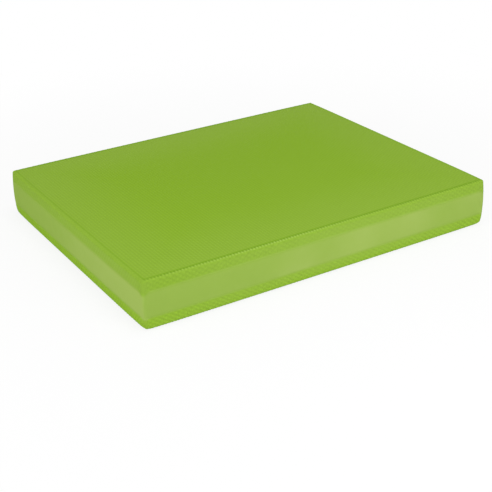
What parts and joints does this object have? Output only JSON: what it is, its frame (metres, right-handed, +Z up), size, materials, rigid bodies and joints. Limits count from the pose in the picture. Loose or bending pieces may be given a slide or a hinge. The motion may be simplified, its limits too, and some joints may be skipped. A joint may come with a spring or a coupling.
{
  "type": "balance pad",
  "caption": "Thick rectangular foam balance pad with embossed non-slip skins over a smooth squeezable core, for standing balance and ankle exercises.",
  "frame": {"origin": "middle of the underside", "axes": "+X along the long side, +Y along the short side, +Z up to the standing face"},
  "size_m": [0.48, 0.38, 0.06],
  "materials": {
    "grip_skin": "matte leaf-green elastomer foam skin, embossed with fine close-set beads",
    "core_foam": "matte smooth foam, paler and yellower green than the skins",
    "inner_foam": "matte green foam with fine closed cells"
  },
  "bodies": {
    "base": {"bottom_grip_skin": "grip_skin", "lower_foam_ply": "inner_foam", "core_foam_ply": "core_foam"},
    "standing_top": {"upper_foam_ply": "inner_foam", "top_grip_skin": "grip_skin"}
  },
  "joints": [
    {"name": "press", "type": "slide", "parent": "base", "child": "standing_top", "axis": [0, 0, 1], "range_m": [-0.018, 0], "stiffness_N_per_m": 35000, "deforming": ["core_foam_ply"]}
  ]
}
